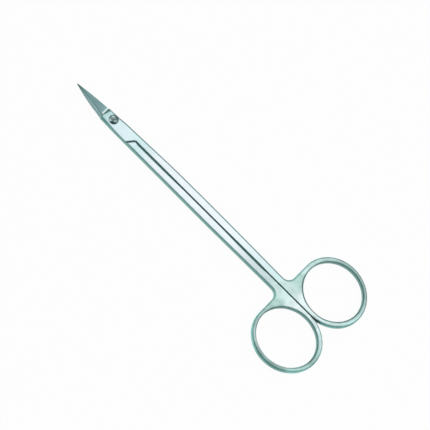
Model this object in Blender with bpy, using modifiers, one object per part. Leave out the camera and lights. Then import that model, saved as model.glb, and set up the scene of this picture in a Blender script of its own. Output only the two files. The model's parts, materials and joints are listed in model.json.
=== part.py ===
# Nail scissors with long shanks: two forged halves in a lap joint and the screw they turn on.
# They lie closed and flat. +Y points to the tips, +Z up, and X = 0 is the parting plane.
# The upper half has its ring at +X. The lower half has its ring at -X.
# Outlines are worked out from the screw's axis and then moved so that the origin is the
# middle of the footprint, on the table side.

import math

import bmesh
import bpy

# Driving dimensions, in metres and radians.
# Whole tool: lengths run from the screw's axis.
BLADE_REACH = 0.0225  # to the tips
RING_REACH = 0.12115  # to the middle of the finger holes
THICKNESS = 0.0036  # joint, shanks and rings, table side to top

# Blades, closed: the left side is the upper blade's spine, the right side is its edge.
BLADE_FOOT = 0.0050  # screw's axis to the foot of the shoulder
BLADE_LEFT = 0.00342  # middle to left side at the foot
BLADE_RIGHT = 0.0024  # middle to right side at the foot
LEFT_BULGE_SHARE = 0.30  # how far the left side bellies out from straight
RIGHT_BULGE_SHARE = 0.68  # the same, right side
TIP_HALF_WIDTH = 0.00014
TIP_RISE = 0.0014  # how far the blades curve up at the tips
FLAT_RADIUS = 0.008  # the sliding faces are flat out to here and curve up beyond
RIDGE_HEIGHT = 0.00135  # sliding face to the ridge of the ground face, at the foot
EDGE_HEIGHT = 0.0007  # height of the cutting bevel at the foot
SPINE_HEIGHT = 0.0007  # height of the upright part of the spine at the foot
TIP_TAPER_SHARE = 0.25  # what is left of those three heights at the tip
RIDGE_SHARE = 0.55  # place of the ridge, as a share of the spine side's width
EDGE_LEAN_SHARE = 0.35  # how far the cutting bevel leans in, as a share of its height
SHOULDER_LEAN_SHARE = 1.0  # rise of the shoulder for each length along it
SHOULDER_ROUND = 0.00035  # half length of the hollow at the shoulder's foot

# Shanks. The tables run from the blade's foot, 0, to the neck of the ring, 1,
# and give a side's distance from the parting plane as a share of SHANK_WIDTH.
SHANK_WIDTH = 0.00387
NECK_REACH = 0.098  # screw's axis to the neck of the ring
RIGHT_SIDE_SHARES = (
    (0.05, 0.68), (0.10, 0.79), (0.165, 0.845), (0.25, 0.92), (0.36, 1.008),
    (0.485, 1.035), (0.65, 1.03), (0.825, 0.99), (1.0, 0.93),
)
LEFT_SIDE_SHARES = (
    (0.05, 0.897), (0.15, 0.912), (0.36, 0.93), (0.63, 0.964), (0.825, 0.938), (1.0, 0.91),
)
PARTING_GAP = 0.0003  # between the two shanks, and at the ends of the laps
EDGE_ROUND = 0.00045  # rounding of the halves' upper and lower edges

# Finger rings.
HOLE_LENGTH = 0.0282
HOLE_WIDTH = 0.0252
RING_SIDE = 0.01503  # parting plane to the middle of the hole
RIM_END_WIDTH = 0.00235  # hole to the ring's outside, at the ends of its long axis
RIM_SIDE_WIDTH = 0.00225  # the same, at its sides
RIM_OFFSET = 0.00026  # the outside is this much nearer the parting plane than the hole
RIM_LEAN = math.radians(7)  # turn of the outside's long axis
NECK_FILLET = 0.0036  # hollow between shank and ring

# Lap joint.
LAP_GAP = 0.0001  # running clearance between the sliding faces
NOTCH_CORNER = 0.0130  # screw's axis to where a lap's slanted end meets the parting plane
NOTCH_LEAN = math.radians(37)  # slant of a lap's end
NOTCH_ROUND = 0.0016  # rounding of that corner

# Pivot screw.
SCREW_RADIUS = 0.0013
HEAD_RADIUS = 0.0019
HEAD_HEIGHT = 0.0009
HEAD_DOME = 0.00012  # crown of the head above its rim
HEAD_SINK = 0.00015  # rim of the head below the joint's top
HEAD_CHAMFER = 0.00015
TAIL_SINK = 0.0001  # end of the screw above the table side
TAIL_CHAMFER = 0.0002
SLOT_WIDTH = 0.0006
SLOT_DEPTH = 0.0004
SLOT_TURN = math.radians(-45)
BORE_CLEARANCE = 0.0001  # around the screw, running in the upper half
HEAD_CLEARANCE = 0.00015  # around the head
SEAT_CLEARANCE = 0.0001  # below the head

OVERRUN = 0.001  # how far a cutter runs past what it cuts

# Counts of points and faces.
SIDE_POINTS = 22
BLADE_POINTS = 10
HOLE_POINTS = 56
RIM_POINTS = 56
ARC_POINTS = 6
ROUND_RESOLUTION = 1
TURN_STEPS = 40
SOLVER_STEPS = 40

# Sizes that follow from the ones above.
MID_HEIGHT = THICKNESS / 2
HALF_PARTING = PARTING_GAP / 2
HALF_LAP = LAP_GAP / 2
RIM_LONG = HOLE_LENGTH / 2 + RIM_END_WIDTH
RIM_SHORT = HOLE_WIDTH / 2 + RIM_SIDE_WIDTH
RIM_SIDE = RING_SIDE - RIM_OFFSET
RIM_HALF_LENGTH = math.hypot(RIM_LONG * math.cos(RIM_LEAN), RIM_SHORT * math.sin(RIM_LEAN))
RIM_TOP_ANGLE = -math.atan(RIM_SHORT * math.tan(RIM_LEAN) / RIM_LONG)
BACK_REACH = RING_REACH + RIM_HALF_LENGTH
SCREW_Y = (BACK_REACH - BLADE_REACH) / 2
FIELD = RING_SIDE + HOLE_WIDTH  # wider than anything that is cut

UPPER = 1
LOWER = -1


def clear_scene():
    for item in list(bpy.data.objects):
        bpy.data.objects.remove(item, do_unlink=True)


def new_collection(name):
    collection = bpy.data.collections.new(name)
    bpy.context.scene.collection.children.link(collection)
    return collection


def steel(name, color, roughness):
    material = bpy.data.materials.new(name)
    material.use_nodes = True
    shader = material.node_tree.nodes["Principled BSDF"]
    shader.inputs["Base Color"].default_value = (*color, 1.0)
    shader.inputs["Roughness"].default_value = roughness
    shader.inputs["Metallic"].default_value = 1.0
    return material


def add_object(name, data, collection, axis):
    item = bpy.data.objects.new(name, data)
    item.parent = axis
    collection.objects.link(item)
    return item


def add_cutter(name, mesh, collection, axis):
    cutter = add_object(name, mesh, collection, axis)
    cutter.hide_render = True
    cutter.display_type = "WIRE"
    return cutter


def boolean(item, cutter, operation="DIFFERENCE"):
    modifier = item.modifiers.new(cutter.name, "BOOLEAN")
    modifier.operation = operation
    modifier.solver = "EXACT"
    modifier.object = cutter


def curve_through(stations, place):
    # Smooth value at a place: cubic pieces through the stations, with slopes from their neighbours.
    count = len(stations)
    index = 0
    while index < count - 2 and place > stations[index + 1][0]:
        index += 1
    slopes = []
    for knot in (index, index + 1):
        before = stations[max(knot - 1, 0)]
        after = stations[min(knot + 1, count - 1)]
        slopes.append((after[1] - before[1]) / (after[0] - before[0]))
    (x0, y0), (x1, y1) = stations[index], stations[index + 1]
    span = x1 - x0
    t = (place - x0) / span
    rest = 1 - t
    ends = y0 * rest * rest * (1 + 2 * t) + y1 * t * t * (1 + 2 * rest)
    return ends + span * t * rest * (slopes[0] * rest - slopes[1] * t)


def blade_width(y, on_right):
    # Distance from the middle of the closed blades to their right or left side.
    foot_width = BLADE_RIGHT if on_right else BLADE_LEFT
    bulge = RIGHT_BULGE_SHARE if on_right else LEFT_BULGE_SHARE
    u = (y - BLADE_FOOT) / (BLADE_REACH - TIP_HALF_WIDTH - BLADE_FOOT)
    return TIP_HALF_WIDTH + (foot_width - TIP_HALF_WIDTH) * (1 - u) * (1 + bulge * u)


def plate_width(y, on_right):
    # Distance from the parting plane to the side of the plate that a half is ground from.
    foot_width = BLADE_RIGHT if on_right else BLADE_LEFT
    if y >= BLADE_FOOT:
        return foot_width
    shares = RIGHT_SIDE_SHARES if on_right else LEFT_SIDE_SHARES
    stations = [(0.0, foot_width)]
    stations += [(along, share * SHANK_WIDTH) for along, share in shares]
    return curve_through(stations, min((BLADE_FOOT - y) / (BLADE_FOOT + NECK_REACH), 1.0))


def rim_point(angle):
    # Outside of the ring. Angle 0 is its end nearest the neck, a half turn is the far end.
    along, across = RIM_LONG * math.cos(angle), RIM_SHORT * math.sin(angle)
    x = RIM_SIDE + along * math.sin(RIM_LEAN) + across * math.cos(RIM_LEAN)
    y = -RING_REACH + along * math.cos(RIM_LEAN) - across * math.sin(RIM_LEAN)
    return x, y


def solve(low, high, is_low):
    for _ in range(SOLVER_STEPS):
        middle = (low + high) / 2
        if is_low(middle):
            low = middle
        else:
            high = middle
    return (low + high) / 2


def neck_fillet(neck_width):
    # Quarter arc from the shank's side into the flank, which runs square to the shank and
    # touches the ring at its top.
    x = neck_width + NECK_FILLET
    y = rim_point(RIM_TOP_ANGLE)[1] + NECK_FILLET
    points = []
    for index in range(ARC_POINTS + 1):
        angle = math.pi * (1 + index / ARC_POINTS / 2)
        points.append((x + NECK_FILLET * math.cos(angle), y + NECK_FILLET * math.sin(angle)))
    return points


def notch_points(offset, reach):
    # Slanted end of a lap on the -X side, from x = -reach to the parting plane, with a round
    # corner. A positive offset moves it towards the tip and past the parting plane.
    slant_x, slant_y = math.cos(NOTCH_LEAN), -math.sin(NOTCH_LEAN)
    corner_y = -NOTCH_CORNER + offset * (1 - math.sin(NOTCH_LEAN)) / math.cos(NOTCH_LEAN)
    radius = NOTCH_ROUND + HALF_PARTING + offset
    turn = math.pi / 2 - NOTCH_LEAN
    back = radius * math.tan(turn / 2)
    points = [(-reach, corner_y + (reach + offset) * math.tan(NOTCH_LEAN))]
    for index in range(ARC_POINTS + 1):
        angle = turn * (1 - index / ARC_POINTS)
        x = offset - radius + radius * math.cos(angle)
        points.append((x, corner_y - back + radius * math.sin(angle)))
    return points


def lap_end_points(on_right):
    # End of this half's own lap, from the parting face out to the joint's far side.
    points = notch_points(HALF_PARTING, SHANK_WIDTH)[::-1]
    start_x, start_y = points[-2]
    end_x, end_y = points[-1]

    def is_inside(share):
        x = start_x + (end_x - start_x) * share
        y = start_y + (end_y - start_y) * share
        return -x < plate_width(y, on_right)

    share = solve(0.0, 1.0, is_inside)
    points[-1] = (start_x + (end_x - start_x) * share, start_y + (end_y - start_y) * share)
    return points


def spread(start, end, count):
    return [start + (end - start) * index / count for index in range(count)]


def half_outline(hand):
    # Plan of a half in its own frame, with its shank and ring at +X.
    shank_on_right = hand == UPPER
    neck_width = plate_width(-NECK_REACH, shank_on_right)
    fillet = neck_fillet(neck_width)
    rim_end = solve(math.pi, 3 * math.pi / 2, lambda angle: rim_point(angle)[0] > HALF_PARTING)
    lap_end = lap_end_points(not shank_on_right)

    front = BLADE_REACH + OVERRUN
    points = [(plate_width(front, shank_on_right), front)]
    for y in spread(BLADE_FOOT + SHOULDER_ROUND, fillet[0][1], SIDE_POINTS):
        points.append((plate_width(y, shank_on_right), y))
    points += fillet
    for angle in spread(RIM_TOP_ANGLE, rim_end, RIM_POINTS):
        points.append(rim_point(angle))
    points.append((HALF_PARTING, rim_point(rim_end)[1]))
    points += lap_end
    for y in spread(lap_end[-1][1], BLADE_FOOT + SHOULDER_ROUND, ARC_POINTS)[1:]:
        points.append((-plate_width(y, not shank_on_right), y))
    points.append((-plate_width(front, not shank_on_right), front))
    return points


def hole_outline():
    points = []
    for index in range(HOLE_POINTS):
        angle = 2 * math.pi * index / HOLE_POINTS
        x = RING_SIDE + HOLE_WIDTH / 2 * math.cos(angle)
        points.append((x, -RING_REACH + HOLE_LENGTH / 2 * math.sin(angle)))
    return points


def extruded(name, loops, hand, bottom, top, rounding=0.0):
    # Mesh of flat outlines given thickness, with rounded upper and lower edges. The outlines
    # are in a half's own frame.
    curve = bpy.data.curves.new(name + "_outline", "CURVE")
    curve.dimensions = "2D"
    curve.fill_mode = "BOTH"
    curve.extrude = (top - bottom) / 2 - rounding
    curve.bevel_depth = rounding
    curve.bevel_resolution = ROUND_RESOLUTION
    curve.offset = -rounding
    for loop in loops:
        spline = curve.splines.new("POLY")
        spline.points.add(len(loop) - 1)
        spline.use_cyclic_u = True
        for point, (x, y) in zip(spline.points, loop):
            point.co = (hand * x, y, 0.0, 1.0)
    guide = bpy.data.objects.new(name + "_outline", curve)
    bpy.context.scene.collection.objects.link(guide)
    guide.location.z = (bottom + top) / 2
    bpy.context.view_layer.update()
    evaluated = guide.evaluated_get(bpy.context.evaluated_depsgraph_get())
    mesh = bpy.data.meshes.new_from_object(evaluated)
    mesh.transform(guide.matrix_world)
    mesh.name = name
    bpy.data.objects.remove(guide, do_unlink=True)
    bpy.data.curves.remove(curve)

    shape = bmesh.new()
    shape.from_mesh(mesh)
    bmesh.ops.remove_doubles(shape, verts=shape.verts, dist=HALF_LAP / 10)
    bmesh.ops.recalc_face_normals(shape, faces=shape.faces)
    shape.to_mesh(mesh)
    shape.free()
    return mesh


def slide_height(radius):
    # Height of the sliding faces above the table side, the same all round the screw.
    beyond = max(radius - FLAT_RADIUS, 0.0) / (BLADE_REACH - FLAT_RADIUS)
    return MID_HEIGHT + TIP_RISE * beyond * beyond


def turned(name, profile, steps, collection, axis):
    # Profile at +X, from the axis at the top, down the outer side, to the axis again.
    mesh = bpy.data.meshes.new(name)
    edges = [(index, index + 1) for index in range(len(profile) - 1)]
    mesh.from_pydata([(x, 0.0, z) for x, z in profile], edges, [])
    item = add_object(name, mesh, collection, axis)
    screw = item.modifiers.new("turn", "SCREW")
    screw.steps = steps
    screw.render_steps = steps
    screw.use_merge_vertices = True
    screw.merge_threshold = HALF_LAP / 10
    return item


def lap_cutter(name, hand, cutters, axis):
    # What is ground off a half so that the other half's lap and blade lie against it: a turned
    # body bounded by the sliding face, within the plan of the other half's lap and blade.
    reach = BLADE_REACH + 2 * OVERRUN
    radii = [0.0, FLAT_RADIUS]
    radii += [FLAT_RADIUS + share for share in spread(0.0, reach - FLAT_RADIUS, BLADE_POINTS)[1:]]
    radii.append(reach)
    face = [(radius, slide_height(radius) + hand * HALF_LAP) for radius in radii]
    if hand == UPPER:
        profile = face + [(reach, -OVERRUN), (0.0, -OVERRUN)]
    else:
        roof = slide_height(reach) + THICKNESS
        profile = [(0.0, roof), (reach, roof)] + face[::-1]
    cutter = turned(name, profile, TURN_STEPS * 2, cutters, axis)
    cutter.hide_render = True
    cutter.display_type = "WIRE"

    step = [(-x, y) for x, y in notch_points(-HALF_PARTING, FIELD)]
    past_x, past_y = (2 * last - before for before, last in zip(*step[-2:]))
    plan = step + [(past_x, past_y), (-FIELD, past_y), (-FIELD, FIELD), (FIELD, FIELD)]
    mesh = extruded(name + "_plan", [plan], hand, -FIELD, FIELD)
    boolean(cutter, add_cutter(name + "_plan", mesh, cutters, axis), "INTERSECT")
    return cutter


def shoulder_rise(before_foot):
    # Height of the shoulder above the ground face: a hollow, then a straight slope.
    if before_foot <= -SHOULDER_ROUND:
        return 0.0
    if before_foot >= SHOULDER_ROUND:
        return before_foot * SHOULDER_LEAN_SHARE
    return (before_foot + SHOULDER_ROUND) ** 2 / (4 * SHOULDER_ROUND) * SHOULDER_LEAN_SHARE


def grind_section(y, hand):
    # Section of the grinding cutter across the blade, in the half's own frame, as points
    # (x, height outwards from the sliding face). It lies round the blade's own section, whose
    # edge is at +X and spine at -X. Behind the foot it spreads clear of the joint's sides.
    tip_y = BLADE_REACH - TIP_HALF_WIDTH
    behind = max(BLADE_FOOT - y, 0.0)
    along = max(y - BLADE_FOOT, 0.0) / (tip_y - BLADE_FOOT)
    taper = 1 - (1 - TIP_TAPER_SHARE) * along
    rise = shoulder_rise(BLADE_FOOT - y)
    edge_on_right = hand == UPPER
    edge_x = blade_width(max(y, BLADE_FOOT), edge_on_right)
    spine_x = -blade_width(max(y, BLADE_FOOT), not edge_on_right)
    edge_height = EDGE_HEIGHT * taper
    return [
        (FIELD, -THICKNESS),
        (edge_x + behind, -THICKNESS),
        (edge_x + behind, 0.0),
        (edge_x - EDGE_LEAN_SHARE * edge_height, edge_height + rise),
        (spine_x * RIDGE_SHARE, RIDGE_HEIGHT * taper + rise),
        (spine_x - behind, SPINE_HEIGHT * taper + rise),
        (spine_x - behind, -THICKNESS),
        (-FIELD, -THICKNESS),
        (-FIELD, FIELD),
        (FIELD, FIELD),
    ]


def grind_cutter(name, hand, cutters, axis):
    # Loft of the sections above, closed to a block past the tip. It leaves the blade with its
    # ground face, cutting bevel and spine, and the shoulder behind it.
    tip_y = BLADE_REACH - TIP_HALF_WIDTH
    shoulder = MID_HEIGHT / SHOULDER_LEAN_SHARE
    places = [BLADE_FOOT - shoulder, BLADE_FOOT - SHOULDER_ROUND]
    places += [BLADE_FOOT - SHOULDER_ROUND / 3, BLADE_FOOT, BLADE_FOOT + SHOULDER_ROUND / 3]
    places += spread(BLADE_FOOT + SHOULDER_ROUND, tip_y, BLADE_POINTS)
    sections = [(y, grind_section(y, hand)) for y in places + [tip_y]]
    for y in (BLADE_REACH, BLADE_REACH + 2 * OVERRUN):
        block = grind_section(tip_y, hand)
        block[1:7] = [(0.0, -THICKNESS)] * 6
        sections.append((y, block))

    shape = bmesh.new()
    rings = []
    for y, section in sections:
        slide = slide_height(y)
        rings.append([shape.verts.new((hand * x, y, slide + hand * h)) for x, h in section])
    count = len(rings[0])
    for near, far in zip(rings, rings[1:]):
        for index in range(count):
            after = (index + 1) % count
            shape.faces.new((near[index], near[after], far[after], far[index]))
    shape.faces.new(rings[0])
    shape.faces.new(rings[-1])
    shape.normal_update()
    bmesh.ops.triangulate(shape, faces=shape.faces)
    bmesh.ops.remove_doubles(shape, verts=shape.verts, dist=HALF_LAP / 10)
    bmesh.ops.recalc_face_normals(shape, faces=shape.faces)
    mesh = bpy.data.meshes.new(name)
    shape.to_mesh(mesh)
    shape.free()
    return add_cutter(name, mesh, cutters, axis)


def drill(name, radius, bottom, top, cutters, axis):
    shape = bmesh.new()
    bmesh.ops.create_cone(
        shape, cap_ends=True, segments=TURN_STEPS, radius1=radius, radius2=radius, depth=top - bottom
    )
    bmesh.ops.translate(shape, verts=shape.verts, vec=(0.0, 0.0, (bottom + top) / 2))
    mesh = bpy.data.meshes.new(name)
    shape.to_mesh(mesh)
    shape.free()
    return add_cutter(name, mesh, cutters, axis)


def make_half(name, hand, material, parts, cutters, axis):
    # One forging: plan outline with its finger hole, edges rounded, lap and blade ground.
    outlines = [half_outline(hand), hole_outline()]
    mesh = extruded(name, outlines, hand, 0.0, THICKNESS, EDGE_ROUND)
    mesh.materials.append(material)
    half = add_object(name, mesh, parts, axis)
    boolean(half, lap_cutter(name + "_lap_cut", hand, cutters, axis))
    boolean(half, grind_cutter(name + "_grind_cut", hand, cutters, axis))
    bore = SCREW_RADIUS + BORE_CLEARANCE
    boolean(half, drill(name + "_bore_cut", bore, -OVERRUN, THICKNESS + OVERRUN, cutters, axis))
    return half


def make_head_seat(half, cutters, axis):
    seat = THICKNESS - HEAD_SINK - HEAD_HEIGHT - SEAT_CLEARANCE
    radius = HEAD_RADIUS + HEAD_CLEARANCE
    boolean(half, drill("head_seat_cut", radius, seat, THICKNESS + OVERRUN, cutters, axis))


def make_screw(name, material, parts, cutters, axis):
    # Slotted screw with a low crowned head, its end just inside the table side.
    rim = THICKNESS - HEAD_SINK
    crown = rim + HEAD_DOME
    under_head = rim - HEAD_HEIGHT
    profile = [
        (0.0, crown),
        (HEAD_RADIUS / 2, crown - HEAD_DOME / 4),
        (HEAD_RADIUS - HEAD_CHAMFER, rim),
        (HEAD_RADIUS, rim - HEAD_CHAMFER),
        (HEAD_RADIUS, under_head),
        (SCREW_RADIUS, under_head),
        (SCREW_RADIUS, TAIL_SINK + TAIL_CHAMFER),
        (SCREW_RADIUS - TAIL_CHAMFER, TAIL_SINK),
        (0.0, TAIL_SINK),
    ]
    screw = turned(name, profile, TURN_STEPS, parts, axis)
    screw.data.materials.append(material)

    shape = bmesh.new()
    bmesh.ops.create_cube(shape, size=1.0)
    length = 2 * (HEAD_RADIUS + OVERRUN)
    height = SLOT_DEPTH + OVERRUN
    bmesh.ops.scale(shape, verts=shape.verts, vec=(length, SLOT_WIDTH, height))
    mesh = bpy.data.meshes.new("slot_cut")
    shape.to_mesh(mesh)
    shape.free()
    slot = add_cutter("slot_cut", mesh, cutters, axis)
    slot.location.z = rim - SLOT_DEPTH + height / 2
    slot.rotation_euler.z = SLOT_TURN
    boolean(screw, slot)
    return screw


def smooth(item):
    # Round surfaces shade smooth, and edges sharper than this stay crisp.
    item.data.shade_smooth()
    item.data.set_sharp_from_angle(angle=math.radians(35))


def main():
    clear_scene()
    parts = new_collection("nail_scissors")
    cutters = new_collection("cutters")
    axis = bpy.data.objects.new("screw_axis", None)
    axis.location.y = SCREW_Y
    parts.objects.link(axis)
    bpy.context.view_layer.update()

    satin = steel("satin_steel_upper", (0.70, 0.79, 0.79), 0.34)
    satin_lower = steel("satin_steel_lower", (0.70, 0.79, 0.79), 0.34)
    dark = steel("screw_steel", (0.42, 0.52, 0.51), 0.30)

    upper = make_half("upper_half", UPPER, satin, parts, cutters, axis)
    make_head_seat(upper, cutters, axis)
    lower = make_half("lower_half", LOWER, satin_lower, parts, cutters, axis)
    screw = make_screw("pivot_screw", dark, parts, cutters, axis)
    for item in (upper, lower, screw):
        smooth(item)


main()
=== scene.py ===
# Looks for the nail scissors: two satin steel halves and a slotted screw, closed on a pale table.
import json
import math

import bpy
import bmesh
import numpy as np
from mathutils import Matrix, Vector
from mathutils.geometry import tessellate_polygon


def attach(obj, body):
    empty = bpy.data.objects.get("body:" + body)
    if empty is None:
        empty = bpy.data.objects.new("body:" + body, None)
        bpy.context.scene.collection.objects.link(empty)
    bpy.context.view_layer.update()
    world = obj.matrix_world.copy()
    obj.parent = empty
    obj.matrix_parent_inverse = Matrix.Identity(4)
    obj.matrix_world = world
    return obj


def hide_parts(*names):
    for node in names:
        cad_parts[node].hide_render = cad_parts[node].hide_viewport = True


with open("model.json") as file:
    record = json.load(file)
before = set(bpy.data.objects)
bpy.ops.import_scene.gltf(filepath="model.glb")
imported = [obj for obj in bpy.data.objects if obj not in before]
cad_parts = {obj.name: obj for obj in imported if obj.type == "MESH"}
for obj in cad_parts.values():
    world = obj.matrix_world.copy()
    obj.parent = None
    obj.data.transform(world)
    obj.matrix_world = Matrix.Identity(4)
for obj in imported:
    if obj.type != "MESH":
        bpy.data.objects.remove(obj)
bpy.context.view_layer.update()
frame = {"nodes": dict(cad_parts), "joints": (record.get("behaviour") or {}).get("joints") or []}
print("frame loaded:", ", ".join(sorted(frame["nodes"])))

pivot = frame["joints"][0]["pos_m"]  # a point on the screw's axis
screwY = pivot[1]
upperHand, lowerHand = 1, -1  # side that a half's shank and ring lie on


def byHand(upper, lower):
    # a value for each half, or for the closed pair's right and left side
    return {upperHand: upper, lowerHand: lower}


def ownValues(table, hand):
    # the table with that half's values only
    return {key: value[hand] if isinstance(value, dict) and hand in value else value
            for key, value in table.items()}


# sizes in metres; lengths run from the screw's axis, as in the solids
joint = {
    "thickness": 0.0036, "lapGap": 0.0001, "partingGap": 0.0003,
    "flatRadius": 0.008,  # sliding faces are flat out to here
    "tipRise": 0.0014,  # and curve up by this much at the tips
    "notchCorner": 0.0133, "notchLean": math.radians(37), "notchRound": 0.0016,
    "farRounds": (0.0005, 0.0013),  # away from a half's shank, and there beside the shoulder
    "farFootGrow": 0.006,
    "notchEdgeRound": 0.0006,  # upper and lower edges of the slanted lap end
    "overrun": 0.001,
    "field": 0.04,  # wider than anything that is cut
}
joint["middle"] = joint["thickness"] / 2

shank = {
    "width": 0.00387, "neck": 0.098,
    # the closed pair's side at shares of the way from the blade's foot to the neck
    "shares": byHand(
        [(0.05, 0.68), (0.10, 0.79), (0.165, 0.845), (0.25, 0.92), (0.36, 1.008), (0.485, 1.035),
         (0.65, 1.03), (0.825, 0.99), (1.0, 0.93)],
        [(0.05, 0.897), (0.15, 0.912), (0.36, 0.93), (0.63, 0.964), (0.825, 0.938), (1.0, 0.91)]),
    "outerRound": byHand(0.0013, 0.0008),  # rounding along the outside
    "footRound": byHand(0.001, 0.0014),  # the same beside the shoulder
    "footGrow": 0.004,  # and where it begins to grow, behind the screw's axis
    "partingRound": byHand(0.0003, 0.0004),  # along the dark line, halfway
    "endPartingRound": byHand(0.00048, 0.00062),  # towards the joint and the rings
    "webPartingRound": byHand(0.0002, 0.0003),  # between the rings' webs
    "partingWear": byHand(0.0, 0.00012),  # what is ground off the parting side
    "endPartingWear": byHand(0.0, 0.00026),
    "notchWear": byHand(0.0, 0.00042),  # and off the step before the lap
    "wearFade": 0.001,  # length before the lap end over which wear fades
    # an ease is where a change begins and how long it takes
    "webEase": (0.002, 0.006),  # from the neck
    "halfway": 0.56,  # share of the neck's reach
    "endEase": (0.010, 0.016),  # from halfway
}

ring = {
    # centres of the rims and of the holes; the lower ring was bent a little nearer the joint
    "rimReach": byHand(0.12115, 0.12085), "rimSide": 0.01477, "holeReach": byHand(0.1212, 0.12058),
    "holeSide": byHand(0.01503, 0.01486), "holeLength": byHand(0.02785, 0.0286),
    "holeWidth": 0.0252, "holeLean": byHand(0.0, math.radians(4)),
    "rimLong": 0.01645,  # middle to end of the outside's long axis
    "sideWidth": 0.002244, "lean": math.radians(7), "fillet": 0.0036, "outerRound": 0.00104,
    "sideRound": byHand(0.00102, 0.00121),  # the same at the ring's far side
    "backRound": byHand(0.00140, 0.00110),  # and behind, towards the parting line
    "holeRound": 0.00087,
    "frontHoleRound": byHand(0.0015, 0.00095),  # towards the neck and parting line
    # where these lie, in half turns: far side (middle, height, fade) and behind; in front by a cosine
    "farSideEase": (0.5, 1.3, 0.3), "behindEase": (1.04, 0.18),
    "frontTurn": math.radians(150), "frontEase": (0.35, 0.5),
    "outerShare": 0.54,  # where a ring is narrow, its two roundings share its width like this
    "crown": 0.00010,  # and leave this much level between them
}
ring["rimShort"] = ring["holeWidth"] / 2 + ring["sideWidth"]
ring["topAngle"] = -math.atan(ring["rimShort"] * math.tan(ring["lean"]) / ring["rimLong"])

blade = {
    "reach": 0.0225,  # to the tips' points before they are blunted
    "foot": 0.0050,
    "width": byHand(0.0024, 0.00342),  # at the foot, on each side of the parting plane
    "bulge": byHand(0.68, 0.30), "tipHalfWidth": 0.00014,
    "tipRound": 0.0004,  # length over which the point is rounded off
    "ridgeHeights": (0.00156, 0.00034),  # at the foot and at the tip
    "edgeHeight": 0.0007, "spineHeight": 0.0007, "tipTaper": 0.25,
    "ridgeShares": (0.14, 0.58),  # its place as a share of the spine's distance, at tip and foot
    "ridgeCurve": 1.6, "edgeLean": 0.35,
    "leanWidth": 0.0006,  # a blade narrower than this has less lean
    "hollow": 0.00006,  # depth of the ground face at the foot
    "spineCrown": 0.00007,  # how far the spine's bevel bulges
    "shoulderRound": 0.00016, "shoulderSlope": 0.74,
    "shoulderReach": 1.2,  # roundings from the foot to the first even section
    "climbStep": 0.7,  # of the climb, for another section
    "tipTurns": (0.05, 0.98),  # the tip's first and last section, in quarter turns
}
blade["end"] = blade["reach"] - blade["tipHalfWidth"]

detail = {
    "wallSpacing": 0.0003, "roundingBlur": 0.0009, "miterLimit": 0.35,
    "levelStrip": 0.00003,  # level rim inside a rounding, so that it shades flat
    "weld": 2e-7,
    # counts of points
    "search": 6001, "slantSearch": 2001,
    "roundSteps": 8, "filletSteps": 36, "notchSteps": 18, "slantSteps": 12, "rimSteps": 330,
    "holeSteps": 300, "turnSteps": 192, "lapSteps": 40, "footSections": 11, "bladeSections": 90,
    "tipSections": 12, "groundSteps": 10, "bevelSteps": 7, "crownSteps": 14, "cornerSteps": 5,
    # shares of a turning step that keep meeting edges apart
    "drillPhase": 0.5, "seatPhase": 0.25,
}


def cubicThrough(knots, places):
    # cubic pieces through the knots; a knot's slope is that of the line between its neighbours
    kx, ky = np.array(knots, float).T
    order = np.arange(len(kx))
    before, after = np.maximum(order - 1, 0), np.minimum(order + 1, len(kx) - 1)
    slope = (ky[after] - ky[before]) / (kx[after] - kx[before])
    i = np.clip(np.searchsorted(kx, places) - 1, 0, len(kx) - 2)
    span = kx[i + 1] - kx[i]
    t = (places - kx[i]) / span
    s = 1 - t
    ends = ky[i] * s * s * (1 + 2 * t) + ky[i + 1] * t * t * (1 + 2 * s)
    return ends + span * t * s * (slope[i] * s - slope[i + 1] * t)


def eased(t):
    # smooth step from 0 to 1
    t = np.clip(t, 0.0, 1.0)
    return t * t * (3 - 2 * t)


def easedPast(value, start, span):
    return eased((value - start) / span)


def fromTo(start, end, share):
    # start at share 0 and end at share 1, evenly between
    return start + (end - start) * share


def sideDistance(y, side):
    # the closed pair's side, from the parting plane; level in front of the blade's foot
    foot = blade["width"][side]
    knots = [(0.0, foot)] + [(along, share * shank["width"]) for along, share in shank["shares"][side]]
    along = (blade["foot"] - y) / (blade["foot"] + shank["neck"])
    return np.where(y >= blade["foot"], foot, cubicThrough(knots, np.clip(along, 0.0, 1.0)))


def bladeDistance(y, side):
    # the blade's side: foot width times (1 - u)(1 + bulge u), ended by a quarter ellipse
    foot, tip = blade["width"][side], blade["tipHalfWidth"]
    u = np.clip((y - blade["foot"]) / (blade["reach"] - tip - blade["foot"]), 0.0, 1.0)
    width = tip + (foot - tip) * (1 - u) * (1 + blade["bulge"][side] * u)
    nearTip = np.clip((y - blade["end"] + blade["tipRound"]) / blade["tipRound"], 0.0, 1.0)
    return width * np.sqrt(1 - nearTip ** 2)


def leantPoints(along, across, lean, side, reach):
    # steps along and across an ellipse's long axis, turned by its lean and carried to its middle
    x = side + along * math.sin(lean) + across * math.cos(lean)
    return np.stack([x, -reach + along * math.cos(lean) - across * math.sin(lean)], -1)


def rimPoints(angle, hand):
    # the ring's outside; angle 0 is its end nearest the neck
    return leantPoints(ring["rimLong"] * np.cos(angle), ring["rimShort"] * np.sin(angle), ring["lean"],
                       ring["rimSide"], ring["rimReach"][hand])


def neckFillet(neckWidth, hand):
    # quarter arc from the shank's side into the square flank that touches the ring
    radius = ring["fillet"]
    top = rimPoints(ring["topAngle"], hand)[1]
    a = math.pi * (1 + np.linspace(0, 0.5, detail["filletSteps"]))
    return np.stack([neckWidth + radius * (1 + np.cos(a)), top + radius * (1 + np.sin(a))], -1)


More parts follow.
